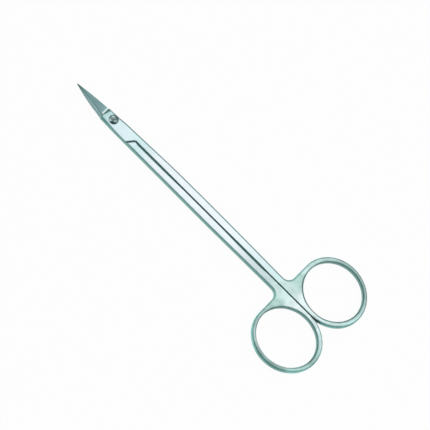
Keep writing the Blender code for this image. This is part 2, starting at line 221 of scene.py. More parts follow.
def notchPoints(offset, reach):
    # slanted lap end at -X: a straight line at the lean, then an arc into the parting plane
    lean = joint["notchLean"]
    corner = -joint["notchCorner"] + offset * (1 - math.sin(lean)) / math.cos(lean)
    radius = joint["notchRound"] + joint["partingGap"] / 2 + offset
    turn = math.pi / 2 - lean
    a = turn * np.linspace(1, 0, detail["notchSteps"])
    arc = np.stack([offset - radius + radius * np.cos(a),
                    corner - radius * math.tan(turn / 2) + radius * np.sin(a)], -1)
    start = np.array([[-reach, corner + (reach + offset) * math.tan(lean)]])
    return np.concatenate([start, arc])


def evenly(start, end):
    # points at the wall spacing, without the last
    count = max(int(abs(end - start) / detail["wallSpacing"]), 2)
    return np.linspace(start, end, count, endpoint=False)


def halfOutline(hand):
    # plan of a half, clockwise with its shank at +X, and the edge rounding at each point
    own, loop = ownValues(shank, hand), ownValues(ring, hand)
    half, foot = joint["partingGap"] / 2, blade["foot"]
    back = half + own["partingWear"]
    fillet = neckFillet(sideDistance(-own["neck"], hand), hand)
    angle = np.linspace(math.pi, 1.5 * math.pi, detail["search"])
    rimEnd = angle[np.argmax(rimPoints(angle, hand)[:, 0] <= back)]
    rimAngle = np.linspace(loop["topAngle"], rimEnd, detail["rimSteps"], endpoint=False)
    rim = rimPoints(rimAngle, hand)
    middle, most, spread = loop["farSideEase"]
    farSide = eased(most - np.abs(rimAngle / math.pi - middle) / spread)
    behind = easedPast(rimAngle / math.pi, *loop["behindEase"])
    rimRound = fromTo(loop["outerRound"], loop["sideRound"], farSide)
    rimRound = rimRound + (loop["backRound"] - loop["outerRound"]) * behind
    flankX = evenly(fillet[-1, 0], rim[0, 0])
    flank = np.stack([flankX, np.full_like(flankX, rim[0, 1])], -1)
    front = blade["reach"] + joint["overrun"]

    sideY = evenly(foot + blade["shoulderRound"], fillet[0, 1])
    side = np.stack([sideDistance(sideY, hand), sideY], -1)
    lapEnd = notchPoints(half, own["width"])[::-1]
    slant = fromTo(lapEnd[-2], lapEnd[-1], np.linspace(0, 1, detail["slantSearch"])[:, None])
    cross = np.argmax(-slant[:, 0] >= sideDistance(slant[:, 1], -hand))
    slant = slant[np.linspace(0, cross, detail["slantSteps"]).astype(int)]
    notch = np.concatenate([lapEnd[:-2], slant])
    partY = evenly(rimPoints(rimEnd, hand)[1], lapEnd[0, 1])
    between = easedPast(partY + own["neck"], *own["webEase"])  # 1 between the shanks, 0 at the rings
    ends = between * easedPast(np.abs(partY + own["neck"] * own["halfway"]), *own["endEase"])
    worn = back - half + (own["endPartingWear"] - own["partingWear"]) * ends
    parting = np.stack([half + worn * eased((lapEnd[0, 1] - partY) / own["wearFade"]), partY], -1)
    farY = evenly(slant[-1, 1], foot + blade["shoulderRound"])[1:]
    far = np.stack([-sideDistance(farY, -hand), farY], -1)
    frontRight, frontLeft = ([[turn * sideDistance(front, turn * hand), front]] for turn in (1, -1))

    # roundings grow beside the shoulder
    footRound, outerRound = own["footRound"], own["outerRound"]
    outer, farEdge = (easedPast(y, -grow, foot + grow)
                      for y, grow in ((sideY, own["footGrow"]), (farY, joint["farFootGrow"])))
    outer = fromTo(outerRound, footRound, outer)
    farEdge = fromTo(*joint["farRounds"], farEdge)
    toRing = eased(np.linspace(0, 1, len(fillet) + len(flank) - 1))
    middle, web = own["partingRound"], own["webPartingRound"]
    inner = fromTo(web, middle, between) + (own["endPartingRound"] - middle) * ends
    runs = [
        (frontRight, [footRound]),
        (side, outer),
        (np.concatenate([fillet[:-1], flank]), fromTo(outerRound, loop["outerRound"], toRing)),
        (rim, rimRound),
        (parting, inner),
        (notch, np.full(len(notch), joint["notchEdgeRound"])),
        (far, farEdge),
        (frontLeft, [joint["farRounds"][1]]),
    ]
    points = np.concatenate([run for run, _ in runs])
    rounding = np.concatenate([radius for _, radius in runs])
    rounding = blurAlong(points, rounding, detail["roundingBlur"])
    return points, np.minimum(rounding, roomFor(loop["outerShare"], points, holeOutline(hand)))


def roomFor(share, points, others):
    # a share of each point's distance to the nearest of the others, less the level crown
    nearest = np.linalg.norm(points[:, None] - others[None], axis=2).min(1)
    return share * (nearest - ring["crown"])


def blurAlong(points, values, reach):
    # weighted mean over the path, with a Gaussian of the distance along it
    step = np.linalg.norm(np.roll(points, -1, 0) - points, axis=1)
    place = np.concatenate([[0.0], np.cumsum(step)[:-1]])
    total = step.sum()
    gap = np.abs(place[:, None] - place[None, :])
    gap = np.minimum(gap, total - gap)
    weight = np.exp(-(gap / reach) ** 2) * (step + np.roll(step, 1))[None, :]
    return weight @ values / weight.sum(1)


holeAngle = np.linspace(0, 2 * math.pi, detail["holeSteps"], endpoint=False)


def holeOutline(hand):
    # the finger hole's ellipse, counter-clockwise
    own = ownValues(ring, hand)
    along, across = own["holeLength"] / 2 * np.sin(holeAngle), own["holeWidth"] / 2 * np.cos(holeAngle)
    return leantPoints(along, across, own["holeLean"], own["holeSide"], own["holeReach"])


def roundedWall(path, radius):
    # path moved in by inset times radius: quarter circles round an upright wall, level strips inside
    ahead = np.roll(path, -1, 0) - path
    ahead /= np.linalg.norm(ahead, axis=1)[:, None]
    right = np.stack([ahead[:, 1], -ahead[:, 0]], -1)
    miter = right + np.roll(right, 1, 0)
    miter /= np.maximum((miter * right).sum(1), detail["miterLimit"])[:, None]
    a = np.linspace(0, math.pi / 2, detail["roundSteps"] + 1)[:, None]
    inset, drop = (1 - np.sin(a)) * radius, (1 - np.cos(a)) * radius
    strip, base = [radius + detail["levelStrip"]], np.zeros((1, len(path)))
    inset = np.concatenate([strip, inset, inset[::-1], strip])
    heights = np.concatenate([base + joint["thickness"], joint["thickness"] - drop, drop[::-1], base])
    return np.concatenate([path + miter * inset[:, :, None], heights[:, :, None]], -1)


def gridFaces(rows, columns, first):
    # quads of a grid whose columns close on themselves
    i, j = np.meshgrid(np.arange(rows - 1), np.arange(columns), indexing="ij")
    k = (j + 1) % columns
    i, below = i * columns, (i + 1) * columns
    return np.stack([i + j, i + k, below + k, below + j], -1).reshape(-1, 4) + first


def capFaces(loops, firsts, points, up):
    # triangles over plan loops with holes, facing up or down
    corners = [[Vector((*p[:2], 0.0)) for p in loop.tolist()] for loop in loops]
    triangles = np.array(tessellate_polygon(corners))
    index = np.concatenate([np.arange(len(loop)) + first for loop, first in zip(loops, firsts)])
    triangles = index[triangles]
    a, b, c = (points[triangles[:, corner], :2] for corner in range(3))
    area = (b - a)[:, 0] * (c - a)[:, 1] - (b - a)[:, 1] * (c - a)[:, 0]
    wrong = (area > 0) != up
    triangles[wrong] = triangles[wrong][:, ::-1]
    return triangles


def addObject(name, data):
    made = bpy.data.objects.new(name, data)
    bpy.context.scene.collection.objects.link(made)
    return made


def meshObject(name, points, faces, material):
    mesh = bpy.data.meshes.new(name)
    mesh.from_pydata(points.reshape(-1, 3).tolist(), [], faces)
    mesh.materials.append(material)
    shape = bmesh.new()
    shape.from_mesh(mesh)
    bmesh.ops.remove_doubles(shape, verts=shape.verts, dist=detail["weld"])
    shape.normal_update()
    bmesh.ops.triangulate(shape, faces=[face for face in shape.faces if len(face.verts) > 4])
    bmesh.ops.recalc_face_normals(shape, faces=shape.faces)
    shape.to_mesh(mesh)
    shape.free()
    return addObject(name, mesh)


def forging(name, hand, material):
    # half plate: rounded walls round the outline and the finger hole, with flat faces between
    outline, rounding = halfOutline(hand)
    hole = holeOutline(hand)
    inFront = easedPast(np.cos(holeAngle - ring["frontTurn"]), *ring["frontEase"])
    holeRound = fromTo(ring["holeRound"], ring["frontHoleRound"][hand], inFront)
    holeRound = np.minimum(holeRound, roomFor(1 - ring["outerShare"], hole, outline))
    walls = [roundedWall(outline, rounding), roundedWall(hole, holeRound)]
    points = np.concatenate([wall.reshape(-1, 3) for wall in walls])
    firsts = [0, walls[0].shape[0] * walls[0].shape[1]]
    lastRows = [first + (wall.shape[0] - 1) * wall.shape[1] for first, wall in zip(firsts, walls)]
    faces = [gridFaces(*wall.shape[:2], first) for wall, first in zip(walls, firsts)]
    faces.append(capFaces([wall[0] for wall in walls], firsts, points, True))
    faces.append(capFaces([wall[-1] for wall in walls], lastRows, points, False))
    points = points * (hand, 1, 1) + (0, screwY, 0)
    return meshObject(name, points, [face for part in faces for face in part.tolist()], material)


def turnedSolid(name, profile, material, phase=0.0):
    # profile (radius, height) turned about the screw's axis; its two ends lie on the axis
    profile = np.array(profile, float)
    a = 2 * math.pi * (np.arange(detail["turnSteps"]) + phase) / detail["turnSteps"]
    radius, height = profile[:, :1], profile[:, 1:]
    grid = np.stack([radius * np.cos(a), radius * np.sin(a) + screwY, height + 0 * a], -1)
    return meshObject(name, grid, gridFaces(len(profile), len(a), 0).tolist(), material)


def slideHeight(y):
    # sliding face: level near the screw, then rising with the square of the distance
    beyond = np.maximum(y - joint["flatRadius"], 0.0) / (blade["reach"] - joint["flatRadius"])
    return joint["middle"] + joint["tipRise"] * beyond ** 2


def bar(name, ends, material):
    # two loops alike, joined and closed
    count = len(ends[0])
    faces = gridFaces(2, count, 0).tolist() + [list(range(count)), list(range(count, 2 * count))]
    return meshObject(name, ends, faces, material)


def cut(piece, cutter, operation="DIFFERENCE"):
    modifier = piece.modifiers.new(cutter.name, "BOOLEAN")
    modifier.operation = operation
    modifier.solver = "EXACT"
    modifier.material_mode = "TRANSFER"
    modifier.object = cutter
    bpy.context.view_layer.update()
    evaluated = piece.evaluated_get(bpy.context.evaluated_depsgraph_get())
    result = bpy.data.meshes.new_from_object(evaluated)
    piece.modifiers.clear()
    piece.data = result
    bpy.data.objects.remove(cutter, do_unlink=True)


def cutLap(piece, hand, material):
    # grind the sliding face: a turned slab under (or over) it, kept inside the other half's plan
    reach = blade["reach"] + 2 * joint["overrun"]
    radius = np.concatenate([[0.0], np.linspace(joint["flatRadius"], reach, detail["lapSteps"])])
    face = np.stack([radius, slideHeight(radius) + hand * joint["lapGap"] / 2], -1)
    under, roof = -joint["overrun"], joint["thickness"] * 3
    if hand == upperHand:
        profile = np.concatenate([face, [[reach, under], [0.0, under]]])
    else:
        profile = np.concatenate([[[0.0, roof], [reach, roof]], face[::-1]])
    slab = turnedSolid("lapSlab", profile, material)
    field = joint["field"]
    step = notchPoints(-joint["partingGap"] / 2 - shank["notchWear"][hand], field) * (-1, 1)
    past = 2 * step[-1] - step[-2]
    plan = np.concatenate([step, [past, [-field, past[1]], [-field, field], [field, field]]])
    plan = plan * (hand, 1) + (0, screwY)
    ends = np.stack([np.c_[plan, np.full(len(plan), height)] for height in (-field, field)])
    cut(slab, bar("lapPlan", ends, material), "INTERSECT")
    cut(piece, slab)


def grindBlade(piece, hand, material):
    # section(y): round the blade, from the edge over the hollow ground face to the ridge, the
    # crowned bevel and the spine; behind the foot all of it climbs and spreads
    foot, tip, bend = blade["foot"], blade["end"], blade["shoulderRound"]
    climb, spread = joint["middle"], bend * blade["shoulderReach"]
    behindY = foot - np.array([climb, climb * blade["climbStep"], spread])
    footY = foot - bend * np.linspace(1, -1, detail["footSections"])
    frontY = np.linspace(foot + spread, tip - blade["tipRound"], detail["bladeSections"])
    toTip = np.sin(np.linspace(*blade["tipTurns"], detail["tipSections"]) * math.pi / 2)
    y = np.concatenate([behindY, footY, frontY, tip - blade["tipRound"] * (1 - toTip)])

    behind = np.maximum(foot - y, 0.0)
    u = np.clip((y - foot) / (tip - foot), 0.0, 1.0)
    taper = 1 - (1 - blade["tipTaper"]) * u
    ease = np.clip((foot - y + bend) / (2 * bend), 0.0, 1.0)
    rise = blade["shoulderSlope"] * np.where(foot - y >= bend, foot - y, ease ** 2 * bend)

    bladeY = np.maximum(y, foot)
    edgeX, spineX = bladeDistance(bladeY, hand), -bladeDistance(bladeY, -hand)
    flat = np.zeros_like(y)
    low, field = flat - joint["thickness"], flat + joint["field"]
    narrow = np.minimum(1, edgeX / blade["leanWidth"])
    edgeTopX = edgeX - blade["edgeLean"] * blade["edgeHeight"] * taper * narrow
    edgeTopZ = blade["edgeHeight"] * taper + rise
    # ridge: share = tip share + (foot share - tip share)(1 - u) ^ curve; its height falls evenly
    ridgeX = spineX * fromTo(*blade["ridgeShares"], (1 - u) ** blade["ridgeCurve"])
    ridgeZ = fromTo(*blade["ridgeHeights"], u) + rise
    spineTopX, spineTopZ = spineX - behind, blade["spineHeight"] * taper + rise

    t = np.linspace(0, 1, detail["groundSteps"])[:, None]
    groundX = fromTo(edgeTopX, ridgeX, t)
    groundZ = fromTo(edgeTopZ, ridgeZ, t) - blade["hollow"] * taper * (4 * t * (1 - t))
    t = np.linspace(0, 1, detail["bevelSteps"])[1:, None]
    bevelX = fromTo(ridgeX, spineTopX, t)
    bevelZ = fromTo(ridgeZ, spineTopZ, t) + blade["spineCrown"] * taper * (4 * t * (1 - t))
    x = np.concatenate([[field, edgeX + behind, edgeX + behind], groundX, bevelX,
                        [spineTopX, -field, -field, field]])
    z = np.concatenate([[low, low, flat], groundZ, bevelZ, [low, low, field, field]])
    inner = len(x) - 4  # points 1 to here lie round the blade
    grid = np.stack([x, y + 0 * x, z + 0 * x], -1).transpose(1, 0, 2)
    block = grid[-1].copy()
    block[1:inner + 1] = (0.0, tip, -joint["thickness"])
    blocks = np.stack([block, block])
    blocks[0, :, 1] = tip
    blocks[1, :, 1] = tip + 2 * joint["overrun"]
    grid = np.concatenate([grid, blocks])
    grid[:, :, 2] = slideHeight(grid[:, :, 1]) + hand * grid[:, :, 2]
    grid = grid * (hand, 1, 1) + (0, screwY, 0)

    rows, columns = grid.shape[:2]
    faces = gridFaces(rows, columns, 0).tolist()
    last = (rows - 1) * columns
    faces.append(list(range(columns)))
    faces.append([last, last + 1] + [last + k for k in range(inner + 1, columns)])
    cut(piece, meshObject("grindingWheel", grid, faces, material))


def smooth(piece, angle=28):
    # round faces shade smooth, and edges sharper than the angle stay crisp
    piece.data.shade_smooth()
    piece.data.set_sharp_from_angle(angle=math.radians(angle))


screw = {
    "radius": 0.0013, "headRadius": 0.0019, "headHeight": 0.0008, "headDome": 0.00026,
    "headSink": 0.00028, "headChamfer": 0.00016, "tailSink": 0.0001, "tailChamfer": 0.00022,
    "slotWidth": 0.0005, "slotDepth": 0.0003, "slotTurn": math.radians(-45),
    "slotCorner": 0.35,  # rounding of its floor, as a share of half its width
    "gap": 0.0001, "seatChamfer": 0.00022,
}


def drillBore(piece, material):
    radius = screw["radius"] + screw["gap"]
    low, high = -joint["overrun"], joint["thickness"] + joint["overrun"]
    cut(piece, turnedSolid("drill", [(0, high), (radius, high), (radius, low), (0, low)], material,
                           detail["drillPhase"]))


def drillSeat(piece, material, chamferMaterial):
    # counterbore for the head, chamfered at the top
    radius = screw["headRadius"] + screw["gap"]
    top = joint["thickness"]
    seat = top - screw["headSink"] - screw["headHeight"] - screw["gap"]
    bevel, over = screw["seatChamfer"], joint["overrun"]
    bore = [(0, top + over), (radius, top + over), (radius, seat), (0, seat)]
    cut(piece, turnedSolid("counterbore", bore, material, detail["seatPhase"]))
    tip = top - bevel - over / 2
    cone = [(0, top + over), (radius + bevel + over, top + over), (radius - over / 2, tip), (0, tip)]
    cut(piece, turnedSolid("countersink", cone, chamferMaterial, detail["seatPhase"]))


def makeScrew(name, material, slotMaterial):
    # crowned head: height falls with the square of the radius; then chamfer, shank and tail
    rim = joint["thickness"] - screw["headSink"]
    flatRim = screw["headRadius"] - screw["headChamfer"]
    r = np.linspace(0, 1, detail["crownSteps"])
    crown = np.stack([r * flatRim, rim + screw["headDome"] * (1 - r ** 2)], -1)
    a = np.linspace(0, math.pi / 2, detail["cornerSteps"] + 1)[1:]
    rounded = np.stack([flatRim + screw["headChamfer"] * np.sin(a),
                        rim - screw["headChamfer"] * (1 - np.cos(a))], -1)
    under = rim - screw["headHeight"]
    end, bevel = screw["tailSink"], screw["tailChamfer"]
    rest = [(screw["headRadius"], under), (screw["radius"], under), (screw["radius"], end + bevel),
            (screw["radius"] - bevel, end), (0.0, end)]
    piece = turnedSolid(name, np.concatenate([crown, rounded, rest]), material)

    # slot: a bar with rounded corners below, turned to its place
    a = np.linspace(0, math.pi / 2, detail["cornerSteps"])
    half = screw["slotWidth"] / 2
    corner = half * screw["slotCorner"]
    inward = corner * (1 - np.cos(a)) - half
    upward = rim - screw["slotDepth"] + corner * (1 - np.sin(a))
    across = np.concatenate([[-half], inward, -inward[::-1], [half]])
    above = [rim + joint["overrun"]]
    up = np.concatenate([above, upward, upward[::-1], above])
    length = screw["headRadius"] + joint["overrun"]
    along = np.array([[-length], [length]])
    turnCos, turnSin = math.cos(screw["slotTurn"]), math.sin(screw["slotTurn"])
    ends = np.stack([along * turnCos - across * turnSin,
                     along * turnSin + across * turnCos + screwY, up + 0 * along], -1)
    cut(piece, bar("slotSaw", ends, slotMaterial))
    return piece


# Materials

satin = {
    # colour of the flat faces at places along Y, from the screw's axis: the steel's teal tint with
    # painted light, lighter and darker stretches of reflection along the tool
    "flatTintAndLight": [(0.0035, (0.49, 0.70, 0.71)), (-0.003, (0.70, 0.86, 0.90)), (-0.009, (0.74, 0.88, 0.92)),
              (-0.016, (0.64, 0.83, 0.85)), (-0.026, (0.83, 0.90, 0.94)), (-0.073, (0.82, 0.90, 0.94)),
              (-0.089, (0.73, 0.86, 0.89)), (-0.099, (0.60, 0.78, 0.77)),
              (-0.1085, (0.61, 0.79, 0.77)), (-0.1145, (0.80, 0.91, 0.92)),
              (-0.1215, (0.74, 0.89, 0.89)), (-0.134, (0.50, 0.68, 0.67)),
              (-0.1375, (0.40, 0.60, 0.57))],
    "ringFarShade": byHand((0.35, 0.50, 0.48), (0.29, 0.44, 0.415)),  # painted shade at the rings' far sides
    "lobeColour": (0.74, 0.83, 0.78),  # greener patch of the web beside each neck
    "side": (0.20, 0.43, 0.395),  # walls, left duller and painted darker as shade
    "outside": byHand((0.20, 0.37, 0.355), (0.20, 0.43, 0.395)),  # those that face +X, with painted shade of their own
    "holeEdgeHighlight": (0.90, 0.95, 0.94),  # painted highlight along the edge of a hole where it faces +X
    "holeEdgeHighlightShare": byHand(0.0, 0.85),

    # tones, by which a colour is multiplied
    "webTone": byHand(0.92, 0.98),  # between hole and parting line
    "byNeckTone": byHand(1.0, 0.85),  # last stretch of the shank before the neck
    "farFrontTone": 0.6,
    "holeTone": byHand((0.80, 0.74), (0.78, 1.1)),  # the hole's wall facing -X, and +X: painted shade, except painted light on the lower ring's +X side
    # painted highlight where a hole's wall faces one way; painted light on the upper ring and painted
    # shade on the lower where it faces another
    "holeHighlightTone": 1.35, "holeLightShadeTone": byHand(1.25, 0.75),
    "frontTone": 1.6,  # painted light on ring walls that face the tips
    "crownTone": byHand(1.2, 1.06),  # painted highlight on the backs of the rings, by the parting line
    "wedgeShadeTone": 0.40,  # painted shade in the wedge where the two rings part
    "backTone": byHand(1.0, 1.6),  # painted highlight on the outer back of a ring
    "mottleTone": (0.97, 1.01), "webMottleTone": (0.90, 1.07), "lineTone": (0.95, 1.03),

    # masks, made of zones: what is measured, where the zone begins and where it is full. side: from
    # the parting plane; neck, hole: along Y from there; share: from the hole's middle, 1 at its edge;
    # the others: how far the face, or the way out from the hole, is turned in that direction
    "pastNeck": [("neck", -0.001, -0.008)], "web": [("neck", -0.001, -0.008), ("side", 0.010, 0.004)],
    "webMottle": [("neck", 0.010, -0.004)],
    "byNeck": [("neck", 0.022, 0.012), ("neck", -0.003, 0.004)],
    "lobe": [("side", 0.003, 0.0065), ("side", 0.013, 0.009), ("neck", -0.017, -0.011),
             ("neck", -0.002, -0.006)],
    "far": byHand([("side", 0.012, 0.028)], [("side", 0.006, 0.014)]),
    "farFront": [("hole", 0.003, 0.011)], "wall": [("right", 0.05, 0.35)],
    "round": [("right", 0.02, 0.2)],
    "byHole": byHand([("share", 1.11, 1.02)], [("share", 1.085, 1.02)]),
    "holeRight": [("right", 0.3, 0.9)], "holeHighlight": [("paintedHighlight", 0.75, 1.0)],
    "holeLightShade": [("lightShadeFacing", 0.6, 1.0)], "edge": [("right", 0.2, 0.6), ("beside", 0.55, 0.85)],
    "front": [("ahead", 0.1, 0.5), ("share", 1.06, 1.12), ("neck", -0.001, -0.008)],
    "crown": [("share", 1.06, 1.10), ("hole", -0.0005, -0.006), ("side", 0.024, 0.012)],
    "wedgeShade": [("side", 0.0012, 0.0003), ("hole", 0.0005, -0.0025)],
    "back": [("behind", 0.87, 0.99), ("neck", -0.001, -0.008)],
    "turns": {"paintedHighlight": (-0.5, 0.87, 0.0), "lightShadeFacing": (0.35, -0.94, 0.0)},
    "ways": {"beside": (-1.0, 0.0, 0.0), "behind": (-0.5, -0.87, 0.0)},
    # how level a rounding is where the wall's colour ends, facing +X and elsewhere
    "outsideFrom": byHand(0.86, 0.55), "sideFrom": 0.55,
    "flatFrom": 0.995,  # and where the flat face's begins
    "rough": (0.42, 0.28), "roughLines": 0.10,
    "grain": (0.00022, 0.009, 0.0036),  # line width, line length and mottle size
    "arm": 0.015,  # radius at which a bent line has its full length
    "bump": 0.10,
}
ground = {
    # colour of the ground faces at places along Y, and of the bevels towards the spine
    "faces": [(0.0033, (0.28, 0.46, 0.44)), (0.0049, (0.26, 0.43, 0.41)), (0.0051, (0.30, 0.46, 0.46)),
              (0.0059, (0.24, 0.40, 0.41)), (0.0105, (0.20, 0.335, 0.34)),
              (0.0170, (0.19, 0.335, 0.335)), (0.0225, (0.13, 0.23, 0.22))],
    "bevels": [(0.0050, (0.66, 0.86, 0.86)), (0.0085, (0.55, 0.74, 0.74)),
               (0.0110, (0.42, 0.60, 0.60)), (0.0155, (0.31, 0.47, 0.47)),
               (0.0225, (0.28, 0.42, 0.42))],
    "ridge": (0.10, 0.20, 0.20), "ridgeShare": 0.42,
    # along: from the screw's axis; edge: from the ridge towards the edge; away: from it either way
    "onRidge": [("away", 0.0003, 0.0)], "onBevel": [("edge", -0.0001, -0.0007)],
    "marks": [
        # painted highlight: a bright strip before the shoulder
        ([("along", 0.0048, 0.0053), ("along", 0.0061, 0.0053), ("edge", -0.0001, 0.0008)],
         (0.80, 0.94, 0.93)),
        # the shoulder's low end
        ([("along", 0.0049, 0.0047), ("edge", 0.0014, 0.0)], (0.40, 0.58, 0.56)),
    ],
    "lineTurn": math.radians(78), "grain": (0.00014, 0.006, 0.0012), "lineTone": (0.88, 1.10),
    "rough": 0.30, "roughLines": 0.12, "bump": 0.18,
}
worn = {"spread": (0.2, 0.9), "mottleTone": (0.94, 1.03), "lineTone": (0.9, 1.06), "roughLines": 0.10}
lapFace = {
    **worn, "colour": (0.47, 0.59, 0.60), "light": (0.53, 0.65, 0.66), "rough": 0.28,
    "grain": (0.00007, 0.006, 0.0009), "arm": 0.008, "bump": 0.08,
}
# colours of the screw's painted highlight and painted shadow
paintedHighlight, paintedShadow = (0.56, 0.72, 0.70), (0.02, 0.06, 0.055)
head = {
    **worn, "colour": (0.13, 0.21, 0.205), "light": (0.27, 0.37, 0.36), "rough": 0.25,
    "grain": (0.00009, 0.004, 0.0011), "bump": 0.15,
    "ways": {"left": (-0.78, 0.62, 0.0), "right": (0.62, 0.78, 0.0), "under": (-0.87, -0.5, 0.0)},
    "spot": (-0.00023, -0.00085, 0.0),
    "marks": [  # painted highlights on two sides and a spot; painted shadow on another side
        ([("radius", 0.0008, 0.0013), ("left", 0.80, 0.99)], paintedHighlight),
        ([("radius", 0.0008, 0.0013), ("right", 0.80, 0.99)], paintedHighlight),
        ([("spot", 0.00045, 0.00015)], paintedHighlight),
        ([("radius", 0.00085, 0.00125), ("under", 0.55, 0.92)], paintedShadow),
    ],
}
slot = {**head, "colour": (0.10, 0.17, 0.165), "light": (0.19, 0.28, 0.27)}
seat = {**head, "colour": (0.10, 0.18, 0.17), "light": (0.16, 0.26, 0.25), "rough": 0.40}
metal = {"Metallic": 1.0}
scratchDepth = 0.00003


class Nodes:
    # short hand for building a node tree
    def __init__(self, tree):
        self.tree = tree

    def feed(self, node, inputs):
        for key, value in inputs.items():
            if isinstance(value, bpy.types.NodeSocket):
                self.tree.links.new(value, node.inputs[key])
            else:
                node.inputs[key].default_value = value
        return node

    def add(self, kind, inputs=None, **settings):
        node = self.tree.nodes.new(kind if kind.startswith("NodeGroup") else "ShaderNode" + kind)
        for key, value in settings.items():
            setattr(node, key, value)
        return self.feed(node, inputs or {})

    def math(self, operation, *values):
        return self.add("Math", dict(enumerate(values)), operation=operation).outputs[0]

    def times(self, product, *values):
        for value in values:
            product = self.math("MULTIPLY", product, value)
        return product

    def vector(self, operation, *values, output="Vector"):
        node = self.add("VectorMath", dict(enumerate(values)), operation=operation)
        return node.outputs[output]

    def dot(self, a, b):
        return self.vector("DOT_PRODUCT", a, b, output="Value")

    def length(self, a):
        return self.vector("LENGTH", a, output="Value")

    def split(self, a):
        return self.add("SeparateXYZ", {0: a}).outputs

    def join(self, x, y, z):
        return self.add("CombineXYZ", {0: x, 1: y, 2: z}).outputs[0]

    def place(self):
        return self.add("TexCoord").outputs["Object"]

    def share(self, value, low, high):
        # 0 at low, 1 at high
        return self.add("MapRange", {0: value, 1: low, 2: high}).outputs[0]

    def ramp(self, value, low, high, start=0.0, end=1.0):
        return self.add("MapRange", {0: value, 1: low, 2: high, 3: start, 4: end},
                        interpolation_type="SMOOTHSTEP").outputs[0]

    def mask(self, measures, zones):
        # product of the zones' ramps
        return self.times(*(self.ramp(measures[kind], low, high) for kind, low, high in zones))

    def marked(self, colour, measures, marks):
        for zones, mark in marks:
            colour = self.mix(self.mask(measures, zones), colour, mark)
        return colour

    def shade(self, value, tones):
        # the first tone where the value is 0, the second where it is 1
        return self.ramp(value, 0.0, 1.0, *tones)

    def noise(self, vector, scale, octaves, roughness):
        return self.add("TexNoise", {"Vector": vector, "Scale": scale, "Detail": octaves,
                                     "Roughness": roughness}).outputs[0]

    def blend(self, factor, a, b):
        return self.add("Mix", {0: factor, 2: a, 3: b}, data_type="FLOAT").outputs[0]

    def mix(self, factor, a, b, blend="MIX"):
        a, b = ((*value, 1.0) if isinstance(value, tuple) else value for value in (a, b))
        node = self.add("Mix", {0: factor, 6: a, 7: b}, data_type="RGBA", blend_type=blend)
        return node.outputs[2]

    def tinted(self, colour, *tones):
        # colour times each tone
        for tone in tones:
            grey = self.add("CombineColor", {0: tone, 1: tone, 2: tone}).outputs[0]
            colour = self.mix(1.0, colour, grey, "MULTIPLY")
        return colour

    def colourAlong(self, value, stops):
        # colours at set places, evenly between
        low, high = min(stops)[0], max(stops)[0]
        node = self.add("ValToRGB", {0: self.share(value, low, high)})
        node.color_ramp.interpolation = "LINEAR"
        elements = node.color_ramp.elements
        elements.remove(elements[-1])
        for at, colour in sorted(stops):
            element = elements[0] if at == low else elements.new((at - low) / (high - low))
            element.position = (at - low) / (high - low)
            element.color = (*colour, 1.0)
        return node.outputs[0]


grainNoise = {
    "lines": (3.0, 0.62), "mottle": (2.5, 0.5),  # octaves and roughness
    "lineRange": (0.28, 0.72), "mottleRange": (0.3, 0.7),
    "lineShare": 0.75,  # what the lines give to the height; the mottle gives the rest
}
grainInputs = {"Vector": (0, 0, 0), "Line Width": 0.0002, "Line Length": 0.008, "Mottle Size": 0.0015}
grainOutputs = ("Lines", "Mottle", "Height")


def newGroup(name, inputs):
    # an input with three numbers is a vector
    tree = bpy.data.node_groups.new(name, "ShaderNodeTree")
    for socket, value in inputs.items():
        kind = "NodeSocketVector" if isinstance(value, tuple) else "NodeSocketFloat"
        tree.interface.new_socket(name=socket, in_out="INPUT", socket_type=kind).default_value = value
    for socket in grainOutputs:
        tree.interface.new_socket(name=socket, in_out="OUTPUT", socket_type="NodeSocketFloat")
    nodes = Nodes(tree)
    return tree, nodes, nodes.add("NodeGroupInput").outputs


def makeGrainGroup():
    # lines: noise drawn out along Y; mottle: even noise of its own size
    tree, n, given = newGroup("brushedGrain", grainInputs)
    across, along, even = (n.math("DIVIDE", 1.0, given[key]) for key in list(grainInputs)[1:])
    lines = n.noise(n.vector("MULTIPLY", given["Vector"], n.join(across, along, across)), 1.0,
                    *grainNoise["lines"])
    mottle = n.noise(given["Vector"], even, *grainNoise["mottle"])
    lines, mottle = n.ramp(lines, *grainNoise["lineRange"]), n.ramp(mottle, *grainNoise["mottleRange"])
    share = grainNoise["lineShare"]
    height = n.math("MULTIPLY_ADD", lines, share, n.times(mottle, 1 - share))
    n.add("NodeGroupOutput", {"Lines": lines, "Mottle": mottle, "Height": height})
    return tree


def makeTurnedGroup():
    # the same bent round a centre: radius takes the place of X, angle times arm that of Y
    tree, n, given = newGroup("turnedGrain", {**grainInputs, "Centre": (0, 0, 0), "Arm": 0.014})
    x, y, z = n.split(n.vector("SUBTRACT", given["Vector"], given["Centre"]))
    around = n.times(n.math("ARCTAN2", y, x), given["Arm"])
    bent = n.join(n.length(n.join(x, y, 0.0)), around, z)
    grain = n.add("Group", node_tree=grainGroup)
    n.feed(grain, {**{key: given[key] for key in grainInputs}, "Vector": bent})
    n.add("NodeGroupOutput", {key: grain.outputs[key] for key in grainOutputs})
    return tree


grainGroup = makeGrainGroup()
turnedGroup = makeTurnedGroup()


def newMaterial(name, inputs):
    # node helper that also carries its material and shader
    material = bpy.data.materials.new(name)
    material.use_nodes = True
    n = Nodes(material.node_tree)
    n.material, n.shader = material, n.feed(n.tree.nodes["Principled BSDF"], inputs)
    return n


def grainNode(n, group, vector, finish, **places):
    sizes = dict(zip(list(grainInputs)[1:], finish["grain"]))
    return n.feed(n.add("Group", node_tree=group), {"Vector": vector, **sizes, **places}).outputs


def finishSteel(n, colour, rough, grain, finish):
    bump = n.add("Bump", {"Height": grain["Height"], "Strength": finish["bump"],
                          "Distance": scratchDepth})
    rough = n.math("MULTIPLY_ADD", grain["Lines"], finish["roughLines"], rough)
    n.feed(n.shader, {"Base Color": colour, "Roughness": rough, "Normal": bump.outputs[0]})
    return n.material


